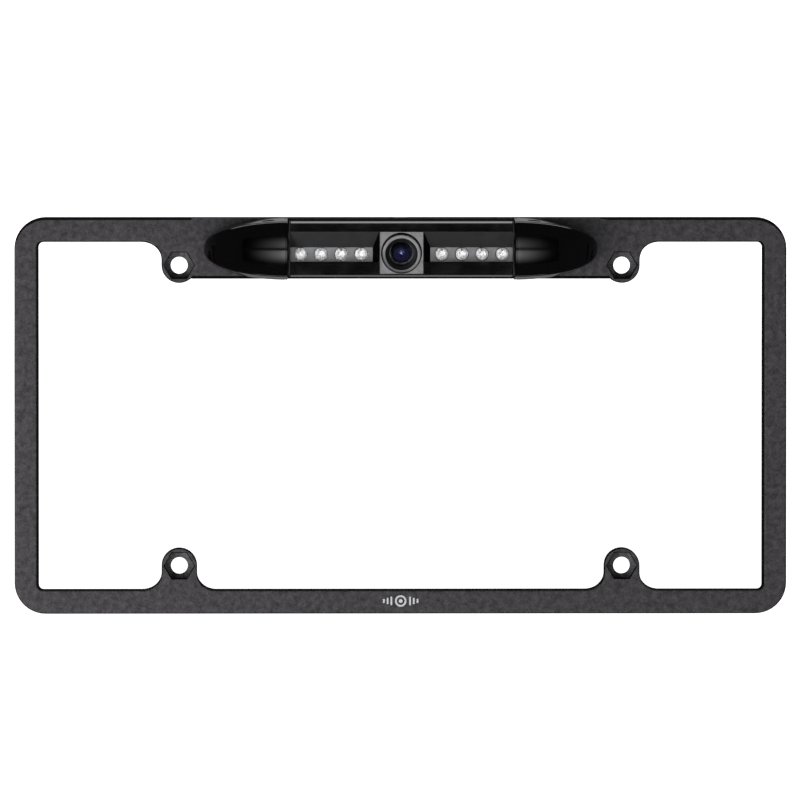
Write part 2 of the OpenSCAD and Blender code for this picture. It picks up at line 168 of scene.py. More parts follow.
MAT = {
    "frame_plastic": surface("frame_plastic", (0.0545, 0.0515, 0.0550), 0.48, grain=0.42, bump=0.05, vary=0.42, patch=2.4, rvary=0.08,
                             second_size=1.3, second_bump=0.022, specks=0.2, speck_color=(0.16, 0.155, 0.16), Specular_IOR_Level=0.1),
    "gloss_black": surface("gloss_black", (0.0011, 0.0011, 0.0013), 0.085, grain=0.5, bump=0.0, vary=0.15, patch=9, rvary=0.03,
                           second_size=5.0, second_bump=0.0045, specks=0.03, speck_color=(0.03, 0.03, 0.03)),
    "gloss_bar": surface("gloss_bar", (0.0011, 0.0011, 0.0013), 0.05, grain=0.5, bump=0.0, vary=0.15, patch=9, rvary=0.02,
                         second_size=5.0, second_bump=0.003, specks=0.03, speck_color=(0.03, 0.03, 0.03)),
    "hood": surface("hood", (0.0125, 0.0125, 0.013), 0.55, grain=0.3, bump=0.02, vary=0.22, patch=3, rvary=0.05),
    "deep_black": surface("deep_black", (0.0014, 0.0014, 0.0014), 0.6, grain=0.3, bump=0.004, vary=0.15, patch=3, rvary=0.05, Specular_IOR_Level=0.3),
    "black_plastic": surface("black_plastic", (0.018, 0.018, 0.019), 0.45, grain=0.3, bump=0.008, vary=0.12, patch=12),
    "zinc_steel": surface("zinc_steel", (0.62, 0.62, 0.60), 0.32, 1.0, grain=0.25, bump=0.004, vary=0.10, patch=2.5, second=(0.66, 0.63, 0.56)),
    "black_steel": surface("black_steel", (0.02, 0.02, 0.022), 0.45, 0.5, grain=0.2, bump=0.004, vary=0.15, patch=2),
    "brass": surface("brass", (0.75, 0.58, 0.28), 0.3, 1.0, grain=0.2, bump=0.003, vary=0.1, patch=2),
    "rubber": surface("rubber", (0.022, 0.022, 0.023), 0.7, grain=0.25, bump=0.01, vary=0.15, patch=6),
    "alloy": surface("alloy", (0.30, 0.30, 0.305), 0.46, 0.55, grain=0.18, bump=0.007, vary=0.10, patch=4, rvary=0.05),
    "window_end": surface("window_end", (0.0008, 0.0008, 0.0008), 0.8, grain=0.3, bump=0.004, vary=0.15, patch=3, rvary=0.05, Specular_IOR_Level=0.02),
    "black_oxide": surface("black_oxide", (0.004, 0.004, 0.0042), 0.7, grain=0.2, bump=0.006, vary=0.2, patch=1.5, rvary=0.05, Specular_IOR_Level=0.03),
    "anodised_black": surface("anodised_black", (0.010, 0.010, 0.011), 0.42, 0.35, grain=0.2, bump=0.006, vary=0.14, patch=4, rvary=0.05),
    "grey_plastic": surface("grey_plastic", (0.150, 0.150, 0.156), 0.55, grain=0.4, bump=0.02, vary=0.26, patch=3, rvary=0.06),
    "board_green": surface("board_green", (0.03, 0.14, 0.06), 0.3, grain=0.5, bump=0.003, vary=0.2, patch=3),
    "tin": surface("tin", (0.72, 0.72, 0.7), 0.25, 1.0, grain=0.3, bump=0.004, vary=0.08, patch=1),
    "chip_black": surface("chip_black", (0.03, 0.03, 0.032), 0.5, grain=0.15, bump=0.004, vary=0.15, patch=2),
    "wire_red": surface("wire_red", (0.42, 0.03, 0.02), 0.4, grain=0.4, bump=0.003, vary=0.08, patch=6),
    "nylon_white": surface("nylon_white", (0.74, 0.71, 0.62), 0.45, grain=0.3, bump=0.004, vary=0.05, patch=3),
    "mark_ink": surface("mark_ink", (0.52, 0.525, 0.54), 0.34, 0.35, grain=0.12, bump=0.006, vary=0.12, patch=1.2),
    "led_die": surface("led_die", (0.8, 0.8, 0.78), 0.35, grain=0.35, bump=0.03, vary=0.10, patch=0.7, second=(0.9, 0.9, 0.9)),
    "clear_resin": surface("clear_resin", (0.97, 0.98, 1.0), 0.06, grain=0.8, bump=0.0, vary=0.01, patch=1.5, rvary=0.02,
                           Transmission_Weight=1.0, IOR=1.5),
    "coated_glass": surface("coated_glass", (0.86, 0.88, 1.0), 0.02, grain=2.0, bump=0.0, vary=0.02, patch=4, rvary=0.01,
                            Transmission_Weight=1.0, IOR=1.52, Specular_Tint=(0.55, 0.6, 1.0, 1.0)),
    "blue_filter": surface("blue_filter", (0.5, 0.8, 0.85), 0.03, grain=2.0, bump=0.0, vary=0.02, patch=4, rvary=0.01,
                           Transmission_Weight=1.0, IOR=1.5),
}


def painted_reflection_dome():
    """Second lens element: indigo and green coating tints in rings by the distance from the lens axis; the rings'
    brightness is painted reflection of the lights.
    """
    m = bpy.data.materials.new("element_painted_reflection")
    m.use_nodes = True
    nt = m.node_tree
    b = nt.nodes["Principled BSDF"]
    tc = nt.nodes.new("ShaderNodeTexCoord")
    length = nt.nodes.new("ShaderNodeVectorMath")
    length.operation = "LENGTH"
    sep = nt.nodes.new("ShaderNodeSeparateXYZ")
    com = nt.nodes.new("ShaderNodeCombineXYZ")
    nt.links.new(tc.outputs["Object"], sep.inputs[0])
    shift = nt.nodes.new("ShaderNodeMath")
    shift.operation = "ADD"
    shift.inputs[1].default_value = 0.0006
    nt.links.new(sep.outputs["Z"], shift.inputs[0])
    nt.links.new(sep.outputs["X"], com.inputs["X"])
    nt.links.new(shift.outputs[0], com.inputs["Z"])
    nt.links.new(com.outputs[0], length.inputs[0])
    r = nt.nodes.new("ShaderNodeMapRange")
    r.inputs["From Min"].default_value = 0.0
    r.inputs["From Max"].default_value = 0.0050
    nt.links.new(length.outputs["Value"], r.inputs["Value"])
    wob = nt.nodes.new("ShaderNodeTexNoise")
    wob.inputs["Scale"].default_value = 620.0
    wob.inputs["Detail"].default_value = 3.0
    nt.links.new(tc.outputs["Object"], wob.inputs["Vector"])
    add = nt.nodes.new("ShaderNodeMath")
    add.operation = "MULTIPLY_ADD"
    add.inputs[1].default_value = 0.26
    nt.links.new(wob.outputs["Fac"], add.inputs[0])
    nt.links.new(r.outputs["Result"], add.inputs[2])
    sub = nt.nodes.new("ShaderNodeMath")
    sub.operation = "SUBTRACT"
    sub.inputs[1].default_value = 0.13
    nt.links.new(add.outputs[0], sub.inputs[0])
    ramp = nt.nodes.new("ShaderNodeValToRGB")
    e = ramp.color_ramp.elements
    e[0].position, e[0].color = 0.0, (0.018, 0.018, 0.080, 1)
    e[1].position, e[1].color = 1.0, (0.001, 0.001, 0.0015, 1)
    for pos, c in ((0.14, (0.040, 0.038, 0.150, 1)), (0.28, (0.070, 0.066, 0.230, 1)), (0.40, (0.045, 0.046, 0.150, 1)), (0.52, (0.070, 0.072, 0.200, 1)),
                   (0.62, (0.020, 0.026, 0.060, 1)), (0.72, (0.012, 0.024, 0.024, 1)), (0.80, (0.018, 0.032, 0.024, 1)), (0.90, (0.003, 0.004, 0.004, 1))):
        n = e.new(pos)
        n.color = c
    # brighter to the left, where the coating catches the light
    side = nt.nodes.new("ShaderNodeMapRange")
    side.inputs["From Min"].default_value = -0.003
    side.inputs["From Max"].default_value = 0.003
    side.inputs["To Min"].default_value = 0.95
    side.inputs["To Max"].default_value = 0.35
    nt.links.new(sep.outputs["X"], side.inputs["Value"])
    gain = nt.nodes.new("ShaderNodeVectorMath")
    gain.operation = "SCALE"
    nt.links.new(ramp.outputs["Color"], gain.inputs[0])
    nt.links.new(side.outputs["Result"], gain.inputs["Scale"])
    nt.links.new(sub.outputs[0], ramp.inputs["Fac"])
    nt.links.new(gain.outputs[0], b.inputs["Base Color"])
    b.inputs["Roughness"].default_value = 0.06
    socket(b, "IOR", 1.7)
    socket(b, "Specular Tint", (0.45, 0.42, 1.0, 1.0))
    return m


# the second lens element's material, with painted reflection in its rings
MAT["element"] = painted_reflection_dome()


# ------------------------------------------------------------------ mesh helpers
def new_object(name, bm, material, smooth=True, sharp=35):
    me = bpy.data.meshes.new(name)
    bmesh.ops.recalc_face_normals(bm, faces=bm.faces[:])
    bm.to_mesh(me)
    bm.free()
    o = bpy.data.objects.new(name, me)
    SC.collection.objects.link(o)
    me.materials.append(material)
    if smooth:
        me.shade_smooth()
        me.set_sharp_from_angle(angle=math.radians(sharp))
    return o


def take(o, *nodes, slot=None, body=None):
    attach(o, body or BODY[nodes[0]])
    if nodes:
        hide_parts(*nodes)
    return o


def bake_modifiers(o):
    dg = bpy.context.evaluated_depsgraph_get()
    me = bpy.data.meshes.new_from_object(o.evaluated_get(dg), preserve_all_data_layers=True, depsgraph=dg)
    old = o.data
    o.modifiers.clear()
    o.data = me
    bpy.data.meshes.remove(old)
    return o


def cad_bmesh(node, flat=0.6):
    """The node's own mesh as a clean bmesh: welded, with coplanar triangles joined."""
    bm = bmesh.new()
    bm.from_mesh(NODES[node].data)
    bmesh.ops.remove_doubles(bm, verts=bm.verts[:], dist=2e-6)
    bmesh.ops.dissolve_degenerate(bm, dist=1e-6, edges=bm.edges[:])
    bmesh.ops.dissolve_limit(bm, angle_limit=math.radians(flat), use_dissolve_boundaries=False,
                             verts=bm.verts[:], edges=bm.edges[:], delimit=set())
    return bm


def loops_of(bm, edges):
    """Closed chains of vertices along those edges."""
    nxt = {}
    for e in edges:
        for v in e.verts:
            nxt.setdefault(v, []).append(e)
    seen, loops = set(), []
    for e0 in edges:
        if e0 in seen:
            continue
        chain, e, v = [], e0, e0.verts[0]
        while e not in seen:
            seen.add(e)
            chain.append(v)
            v = e.other_vert(v)
            e = next((k for k in nxt[v] if k not in seen), e)
        loops.append(chain)
    return loops


def inside(p, poly):
    x, z = p
    hit = False
    for (x1, z1), (x2, z2) in zip(poly, poly[1:] + poly[:1]):
        if (z1 > z) != (z2 > z) and x < (x2 - x1) * (z - z1) / (z2 - z1) + x1:
            hit = not hit
    return hit


def front_fillet(node, radius, steps=4, change=None, material=None, sharp=32, at=None, wall=None):
    """The node's own mesh with the edges of its flat front rounded. radius(loop of (x, z) in mm, is the outer one) gives each edge loop's radius."""
    bm = bmesh.new()
    bm.from_mesh(NODES[node].data)
    bmesh.ops.remove_doubles(bm, verts=bm.verts[:], dist=2e-6)
    bmesh.ops.dissolve_degenerate(bm, dist=1e-6, edges=bm.edges[:])
    bm.normal_update()
    y0 = min(v.co.y for v in bm.verts) if at is None else at * MM
    if change:
        change(bm)
        bm.normal_update()
    # Painted shade: the walls of the window and of the recesses get the near-black second material.
    if wall:
        for f in bm.faces:
            if -0.35 < f.normal.y < 0.5 and window_wall(f.calc_center_median() / MM):
                f.material_index = 1
    front = [f for f in bm.faces if f.normal.y < -0.999 and all(abs(v.co.y - y0) < 2e-6 for v in f.verts)]
    bmesh.ops.delete(bm, geom=front, context="FACES_ONLY")
    rim = [e for e in bm.edges if len(e.link_faces) == 1 and all(abs(v.co.y - y0) < 2e-6 for v in e.verts)]
    loose = [e for e in bm.edges if len(e.link_faces) == 0]
    loops = loops_of(bm, rim)
    bmesh.ops.delete(bm, geom=loose, context="EDGES")
    flat = [[(v.co.x / MM, v.co.z / MM) for v in l] for l in loops]

    def area(p):
        return sum(x1 * z2 - x2 * z1 for (x1, z1), (x2, z2) in zip(p, p[1:] + p[:1])) / 2

    outer = max(range(len(flat)), key=lambda i: abs(area(flat[i])))
    last = []
    for i, (loop, p) in enumerate(zip(loops, flat)):
        r = radius(p, i == outer)
        if not isinstance(r, list):
            r = [r] * len(p)
        if max(r) <= 0:
            last.append(loop)
            continue
        sign = (1 if area(p) > 0 else -1) * (1 if i == outer else -1)
        n = len(p)
        miter = []
        for k in range(n):
            (x0, z0), (x1, z1), (x2, z2) = p[k - 1], p[k], p[(k + 1) % n]
            a_, b_ = Vector((x1 - x0, z1 - z0)), Vector((x2 - x1, z2 - z1))
            a_.normalize()
            b_.normalize()
            n1, n2 = Vector((-a_.y, a_.x)) * sign, Vector((-b_.y, b_.x)) * sign
            miter.append((n1 + n2) / max(1 + n1.dot(n2), 0.35))
        for v, r_ in zip(loop, r):
            v.co.y = y0 + r_ * MM
        prev = loop
        for s_ in range(1, steps + 1):
            t = math.pi / 2 * s_ / steps
            off, dy = 1 - math.cos(t), 1 - math.sin(t)
            row = [bm.verts.new(((x + m.x * off * r_) * MM, y0 + dy * r_ * MM, (z + m.y * off * r_) * MM)) for (x, z), m, r_ in zip(p, miter, r)]
            for k in range(n):
                f = bm.faces.new((prev[k], prev[(k + 1) % n], row[(k + 1) % n], row[k]))
                # painted shade: the fillet steps that the rule picks get the near-black second material
                if wall:
                    f.material_index = 1 if wall(i == outer, s_ / steps, p[k], -miter[k] if i == outer else miter[k]) else 0
            prev = row
        last.append(prev)
    pts, edges, owner = [], [], []
    for l in last:
        base = len(pts)
        pts += [Vector((v.co.x / MM, v.co.z / MM)) for v in l]
        owner += l
        edges += [(base + k, base + (k + 1) % len(l)) for k in range(len(l))]
    rings = [[(v.co.x / MM, v.co.z / MM) for v in l] for l in last]
    out = delaunay_2d_cdt(pts, edges, [], 1, 1e-6)
    made = [owner[o[0]] if o else None for o in out[3]]
    for i, (co, m) in enumerate(zip(out[0], made)):
        if m is None:
            made[i] = bm.verts.new((co.x * MM, y0, co.y * MM))
    for f in out[2]:
        c = [sum(out[0][k][j] for k in f) / len(f) for j in (0, 1)]
        if not inside(c, rings[outer]) or any(inside(c, r) for i, r in enumerate(rings) if i != outer):
            continue
        try:
            bm.faces.new([made[k] for k in f])
        except ValueError:
            pass
    o = new_object(node + "_skin", bm, material or MAT[SLOT[node]], sharp=sharp)
    # the near-black painted-shade material goes in the second slot
    if wall:
        o.data.materials.append(MAT[node + "_wall"])
    w = o.modifiers.new("normals", "WEIGHTED_NORMAL")
    w.keep_sharp = True
    return take(o, node)


def solid(name, sections, close=True):
    """A closed body through equal-length lists of points (mm)."""
    bm = bmesh.new()
    rows = [[bm.verts.new(Vector(p) * MM) for p in row] for row in sections]
    n = len(rows[0])
    for a_, b_ in zip(rows, rows[1:]):
        for i in range(n):
            bm.faces.new((a_[i], a_[(i + 1) % n], b_[(i + 1) % n], b_[i]))
    bm.faces.new(rows[0])
    bm.faces.new(list(reversed(rows[-1])))
    return new_object(name, bm, MAT["gloss_black"], smooth=False)


def carve(o, cutters, sharp=32):
    for c in cutters:
        m = o.modifiers.new("cut", "BOOLEAN")
        m.operation = "DIFFERENCE"
        m.object = c
        m.solver = "EXACT"
    bake_modifiers(o)
    for c in cutters:
        bpy.data.objects.remove(c)
    bm = bmesh.new()
    bm.from_mesh(o.data)
    bmesh.ops.remove_doubles(bm, verts=bm.verts[:], dist=1e-6)
    bmesh.ops.dissolve_degenerate(bm, dist=1e-6, edges=bm.edges[:])
    bm.to_mesh(o.data)
    bm.free()
    o.data.shade_smooth()
    o.data.set_sharp_from_angle(angle=math.radians(sharp))
    w = o.modifiers.new("normals", "WEIGHTED_NORMAL")
    w.keep_sharp = True
    return o


def grid_object(name, rows, material, close_u=True, cap_start=False, cap_end=False, sharp=35):
    bm = bmesh.new()
    vs = [[bm.verts.new(Vector(p) * MM) for p in row] for row in rows]
    n = len(vs[0])
    for a, b in zip(vs, vs[1:]):
        for i in range(n if close_u else n - 1):
            bm.faces.new((a[i], a[(i + 1) % n], b[(i + 1) % n], b[i]))
    if cap_start:
        bm.faces.new(vs[0])
    if cap_end:
        bm.faces.new(list(reversed(vs[-1])))
    bmesh.ops.remove_doubles(bm, verts=bm.verts[:], dist=1e-7)
    return new_object(name, bm, material, sharp=sharp)


def lathe_mm(bm, profile, segs, place):
    """Turns (radius, depth) points about the depth axis; place maps a local point to the part's frame."""
    rings = []
    for r, d in profile:
        if r < 1e-6:
            rings.append([bm.verts.new(Vector(place((0, d, 0))) * MM)])
        else:
            rings.append([bm.verts.new(Vector(place((r * math.cos(2 * math.pi * k / segs), d, r * math.sin(2 * math.pi * k / segs)))) * MM)
                          for k in range(segs)])
    for a, b in zip(rings, rings[1:]):
        if len(a) == 1 and len(b) == 1:
            continue
        for k in range(segs):
            k2 = (k + 1) % segs
            if len(a) == 1:
                bm.faces.new((a[0], b[k], b[k2]))
            elif len(b) == 1:
                bm.faces.new((a[k], a[k2], b[0]))
            else:
                bm.faces.new((a[k], a[k2], b[k2], b[k]))


def arc(cx, cy, r, a0, a1, n):
    return [(cx + r * math.cos(math.radians(a0 + (a1 - a0) * k / n)), cy + r * math.sin(math.radians(a0 + (a1 - a0) * k / n))) for k in range(n + 1)]


# ------------------------------------------------------------------ plate frame
flo, fhi = box_mm("plate_frame")
FRONT = flo[1]
HOLES = [(sx * 88.9, sz * 60.325) for sx in (-1, 1) for sz in (-1, 1)]


def frame_change(bm):
    """Moulding draft: the window's walls lean in towards the rear. The long top edge gets points to carry its changing radius."""
    for x in (-84, -80, 80, 84):
        for e in [e for e in bm.edges if all(abs(v.co.y - FRONT * MM) < 1e-6 and abs(v.co.z - fhi[2] * MM) < 1e-6 for v in e.verts) and e.calc_length() > 0.0005]:
            a, b = e.verts
            if min(a.co.x, b.co.x) < x * MM - 1e-5 and max(a.co.x, b.co.x) > x * MM + 1e-5:
                bmesh.utils.edge_split(e, a, (x * MM - a.co.x) / (b.co.x - a.co.x))
    move = {}
    for e in bm.edges:
        a, b = e.verts
        if abs(a.co.y) > abs(b.co.y):
            a, b = b, a
        if abs(a.co.y) < 1e-6 and abs(b.co.y - FRONT * MM) < 1e-6 and (a.co.xz - b.co.xz).length < 1e-6:
            if abs(a.co.x) < 0.009 and a.co.z > 0.055:
                continue
            n = Vector((0, 0, 0))
            for f in e.link_faces:
                if abs(f.normal.y) < 0.1:
                    n += f.normal
            if n.length > 0.1:
                n.normalize()
                move[a] = n
    band = set()
    for e in bm.edges:
        a, b = e.verts
        if a in move and b in move and a.co.z > 0.05 and abs(a.co.z - b.co.z) < 1e-7 and e.calc_length() > 0.02 and max(abs(a.co.x), abs(b.co.x)) < 0.0875:
            band |= {a, b}
    for v, n in move.items():
        near = min(math.hypot(v.co.x / MM - hx, v.co.z / MM - hz) for hx, hz in HOLES)
        lean = min(1.0, max(0.0, (near - 8.5) / 8.0))       # the screw tabs stand straight
        push = n * (0.04 + lean * (0.51 + 0.3 * abs(n.x)))
        if v in band:                                        # the band's lower edge leans most, and all along
            push = Vector((0, 0, -0.85))
        v.co += push * MM


def frame_radius(p, outer):
    if outer:                                # softer along the top, crisp beside the camera bar
        out = []
        for x, z in p:
            up = min(1.0, max(0.0, (z - flo[2] - 148.5) / 9.5))
            away = min(1.0, max(0.0, (abs(x) - 80) / 4))
            out.append(0.85 + 0.75 * up * up * away)
        return out
    cx, cz = sum(x for x, z in p) / len(p), sum(z for x, z in p) / len(p)
    w = max(x for x, z in p) - min(x for x, z in p)
    if w > 200:
        return 0.5
    if min(math.hypot(cx - hx, cz - hz) for hx, hz in HOLES) < 2:
        return 0.42
    return 0.3 if w > 10 else 0.0


# Painted shade: a near-black material for the walls of the window and the recesses and for the start of the edge
# fillets, standing in for their shade.
MAT["plate_frame_wall"] = surface("frame_wall", (0.0016, 0.0016, 0.0018), 0.7, grain=0.3, bump=0.008, vary=0.14, patch=10, rvary=0.05,
                                  Specular_IOR_Level=0.06)


def window_wall(c):
    """Is it a wall of the window or of a recess, and not the frame's outside or anything behind? Such walls get the
    painted shade.
    """
    x, z = abs(c.x), abs(c.z - (flo[2] + fhi[2]) / 2)
    half = (fhi[2] - flo[2]) / 2
    corner = x > 142.5 and z > half - 12.5 and math.hypot(x - 142.5, z - half + 12.5) > 11.5
    return x < 154 and z < half - 1 and not corner and c.y < -0.2


def frame_wall(outer, t, point, out):
    """Painted shade: which steps of the rounded front edges get the near-black material, counted from the wall side.
    Along the top outer edge, 0.84 of the fillet where it faces up outside |x| 80 mm and 0.5 elsewhere. On the rest of
    the outer edge, 0.67. Within 12 mm of a screw hole, 0.84, as a dark outline. Other inner edges get none.
    """
    if outer and point[1] > 66:
        return t <= 0.84 if abs(point[0]) > 80 and out.y > 0.3 else t <= 0.5
    if outer:
        return t <= 0.67
    near = min(math.hypot(point[0] - hx, point[1] - hz) for hx, hz in HOLES)
    return t <= 0.84 if near < 12 else False


# Painted light: a coarser frame material, lighter than the face, for the floors of the hexagonal recesses, to lift the
# shade in them.
MAT["pocket_floor_painted_light"] = surface("pocket_floor_painted_light", (0.080, 0.076, 0.081), 0.5, grain=0.42, bump=0.06, vary=0.42, patch=1.6, rvary=0.08,
                              second_size=1.0, second_bump=0.03, specks=0.2, speck_color=(0.2, 0.2, 0.2), Specular_IOR_Level=0.1)
# the frame's skin, with painted shade on its walls and on the start of its edge fillets
skin = front_fillet("plate_frame", frame_radius, steps=6, change=frame_change, at=FRONT, wall=frame_wall)
skin.data.materials.append(MAT["pocket_floor_painted_light"])
for f in skin.data.polygons:                 # the floors of the hexagonal recesses get the coarser, lighter material: painted light against the shade in the recess
    c = Vector(f.center) / MM
    if f.normal.y < -0.9 and FRONT + 1 < c.y < -1 and min(math.hypot(c.x - hx, c.z - hz) for hx, hz in HOLES) < 6.2:
        f.material_index = 2

# ------------------------------------------------------------------ end housings
hlo, hhi = box_mm("end_housing_right")
HOUSE_IN, HOUSE_TIP, HOUSE_H, HOUSE_D = hlo[0], hhi[0] + 0.12, (hhi[2] - hlo[2]) / 2, hhi[1] - hlo[1]
LEN = HOUSE_TIP - HOUSE_IN


def fillet(points_before, corner, toward, radius, n=7):
    """Points of an arc of that radius between the line that ends at corner and the one that leaves it."""
    a, c, b = Vector(points_before), Vector(corner), Vector(toward)
    u1, u2 = (a - c).normalized(), (b - c).normalized()
    th = math.acos(max(-1, min(1, u1.dot(u2))))
    t = radius / math.tan(th / 2)
    p1, p2 = c + u1 * t, c + u2 * t
    mid = c + (u1 + u2).normalized() * (radius / math.sin(th / 2))
    v1, v2 = p1 - mid, p2 - mid
    out = []
    tot = v1.angle(v2)
    for k in range(n + 1):
        f = k / n
        v = (v1 * math.sin((1 - f) * tot) + v2 * math.sin(f * tot)) / math.sin(tot)
        out.append(tuple(mid + v))
    return out


def housing_section(u, inset=0.0):
    w = 1 - u / LEN
    h = max(HOUSE_H * (1 - w * w) ** (1 / 2.3) - inset, 0.05)
    d = max(HOUSE_D * (1 - w ** 2.2) ** (1 / 1.9) - inset, 0.05)
    e = min(1.15, 0.24 * min(h, d))
    b = 1.5 * d / HOUSE_D
    hf = h - (d - b) * math.tan(math.radians(4.3))
    r = (hf * hf + b * b) / (2 * b)
    # the crowned front, from the middle up
    crown = lambda z: d - r + math.sqrt(r * r - z * z)
    corner = (d - b, hf)
    f = fillet((0, h), corner, (crown(hf * 0.9), hf * 0.9), e)
    top_z = f[-1][1]
    up = [(crown(top_z * k / 14), top_z * k / 14) for k in range(0, 14)]
    side = [(0, h)] + [((0 + (f[0][0]) * k / 5), h + (f[0][1] - h) * k / 5) for k in range(1, 5)]
    half = up + list(reversed(f)) + list(reversed(side))        # from the middle of the front to the foot
    return [(x, -z) for x, z in reversed(half[1:])] + half


def housing(side, node):
    n = 56
    us = [0.03 + (LEN - 1.25 - 0.03) * (k / n) ** 1.9 for k in range(n + 1)] + [LEN - 1.08, LEN - 0.98, LEN - 0.72, LEN - 0.62, LEN - 0.32, LEN - 0.1, LEN]
    insets = [0.0] * (n + 1) + [0.03, 0.14, 0.14, 0.03, 0.0, 0.1, 0.3]
    rows = []
    for u, ins in zip(us, insets):
        sec = housing_section(u, ins)
        rows.append([(side * (HOUSE_TIP - u), FRONT - d, AXIS_Z + z) for d, z in sec])
    o = grid_object(node + "_skin", rows, MAT["gloss_black"], cap_start=True, cap_end=True, sharp=50)
    # clamp screw recess and pivot bore
    cx = (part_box("clamp_screw_right")[0][0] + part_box("clamp_screw_right")[1][0]) / 2 / MM
    bm = bmesh.new()
    prof = [(0, AXIS_Z + 3.5), (2.05, AXIS_Z + 3.5), (2.05, AXIS_Z + 9.6), (2.6, AXIS_Z + 9.6), (2.6, AXIS_Z + 11.05), (3.15, AXIS_Z + 11.75), (3.15, AXIS_Z + 14), (0, AXIS_Z + 14)]
    lathe_mm(bm, prof, 72, lambda p: (side * cx + p[0], AXIS_Y + p[2], p[1]))
    cut1 = new_object("cut1", bm, MAT["gloss_black"], smooth=False)
    bm = bmesh.new()
    jr = 4.06
    prof = [(0, 60), (jr, 60), (jr, HOUSE_IN + 0.3), (jr + 0.4, HOUSE_IN - 0.1), (jr + 0.4, HOUSE_IN - 2), (0, HOUSE_IN - 2)]
    lathe_mm(bm, prof, 72, lambda p: (side * p[1], AXIS_Y + p[0], AXIS_Z + p[2]))
    cut2 = new_object("cut2", bm, MAT["gloss_black"], smooth=False)
    carve(o, [cut1, cut2])
    o.data.materials.append(MAT["black_oxide"])
    for f in o.data.polygons:                 # the bores are not polished
        c = Vector(f.center) / MM
        if math.hypot(c.x - side * cx, c.y - AXIS_Y) < 3.18 and c.z > AXIS_Z + 3.4 and abs(f.normal.z) < 0.8 and side * c.x > HOUSE_IN + 2:
            f.material_index = 1
    return take(o, node)


housing(1, "end_housing_right")
housing(-1, "end_housing_left")

# ------------------------------------------------------------------ camera bar
blo, bhi = box_mm("bar_shell")
END = bhi[0]                                   # half length of the bar
BAR_H, BAR_F, BAR_R, PART_Y, FACE_Y = 11.0, AXIS_Y - blo[1], 11.15, 3.0, -5.2


def at_axis(x, y, z):
    return (x, AXIS_Y + y, AXIS_Z + z)


def bar_section(grow=0.0):
    """The bar's outer section, front half, from the lower rear edge round the front to the upper rear edge (y, z from the axis)."""
    c = 0.62
    f, h = BAR_F, BAR_H
    zr = math.sqrt(BAR_R ** 2 - PART_Y ** 2)
    a0, a1 = math.atan2(zr, PART_Y), math.pi - math.atan2(h, 1.82)
    up = [(BAR_R * math.cos(a0 + (a1 - a0) * k / 8), BAR_R * math.sin(a0 + (a1 - a0) * k / 8)) for k in range(9)]
    top = up + fillet((0, h), (-f + c, h), (-f, h - c), 0.2, 2) + fillet((-f + c, h), (-f, h - c), (-f, 0), 0.2, 2)
    low = [(y, -z) for y, z in reversed(top)]
    return top + low                            # upper rear, over the top, down the front, along the bottom


def extrude_x(name, prof, x0, x1):
    return solid(name, [[at_axis(x, y, z) for y, z in prof] for x in (x0, x1)])


def box_solid(name, a, b):
    return solid(name, [[at_axis(x, a[1], a[2]), at_axis(x, b[1], a[2]), at_axis(x, b[1], b[2]), at_axis(x, a[1], b[2])] for x in (a[0], b[0])])


def bar():
    prof = bar_section()
    # a small chamfer on both ends of the extrusion
    rows = []
    for x, ins in ((-END, 0.25), (-END + 0.25, 0.0), (END - 0.25, 0.0), (END, 0.25)):
        rows.append([at_axis(x, y * (1 - ins / BAR_R) if y < 0 else y, z * (1 - ins / BAR_R)) for y, z in prof])
    o = solid("bar_shell_skin", rows)
    cuts = [box_solid("cavity", (-END - 1, FACE_Y, -9.3), (END + 1, PART_Y + 1, 9.3))]
    f, e = BAR_F, 0.16
    for s_ in (1, -1):
        secs = []
        for y, x0, zt, zb in ((-f - 0.4, 8.95 - 0.3, 6.85 + 0.6, -5 - 0.0), (-f - 0.02, 8.95 - e, 6.85 + e + 0.05, -5 - e), (-f + e, 9.1, 6.55, -5),
                              (FACE_Y, 11.5, 0.7, -5), (FACE_Y + 1, 11.5, 0.7, -5)):
            secs.append([at_axis(s_ * x0, y, zb), at_axis(s_ * (END + 2), y, zb), at_axis(s_ * (END + 2), y, zt), at_axis(s_ * x0, y, zt)])
        secs[0] = [at_axis(s_ * (8.95 - e), -f - 0.4, -5 - e), at_axis(s_ * (END + 2), -f - 0.4, -5 - e), at_axis(s_ * (END + 2), -f - 0.4, 6.85 + e + 0.05), at_axis(s_ * (8.95 - e), -f - 0.4, 6.85 + e + 0.05)]
        cuts.append(solid("window", secs))
    secs = []
    for y, k in ((-f - 0.4, 0.1), (-f - 0.01, 0.1), (-f + 0.1, 0.0), (FACE_Y + 1, 0.0)):
        secs.append([at_axis(-8.75 - k, y, -9.95 - k), at_axis(8.75 + k, y, -9.95 - k), at_axis(8.75 + k, y, 6.95 + k), at_axis(-8.75 - k, y, 6.95 + k)])
    cuts.append(solid("square", secs))
    carve(o, cuts, sharp=12)
    o.data.materials[0] = MAT["gloss_bar"]
    o.data.materials.append(MAT["hood"])
    o.data.materials.append(MAT["window_end"])
    for f in o.data.polygons:                 # the hoods over the lamps are not polished
        c = Vector(f.center) / MM
        if 9.2 < abs(c.x) < END and AXIS_Z + 0.6 < c.z < AXIS_Z + 6.9 and f.normal.z < -0.3 and f.normal.y < -0.3:
            f.material_index = 1
        elif 8.9 < abs(c.x) < 11.8 and abs(f.normal.x) > 0.3 and AXIS_Z - 5.2 < c.z < AXIS_Z + 3.9 and c.y > AXIS_Y - BAR_F + 0.3:
            f.material_index = 2
    return take(o, "bar_shell")


bar()
clo, chi = box_mm("camera_block")
front_fillet("camera_block", lambda p, outer: 0.07 if outer else 0.05, steps=2)
for side_ in ("left", "right"):
    front_fillet("led_bezel_" + side_, lambda p, outer: 0.1 if outer else 0.08, steps=3)

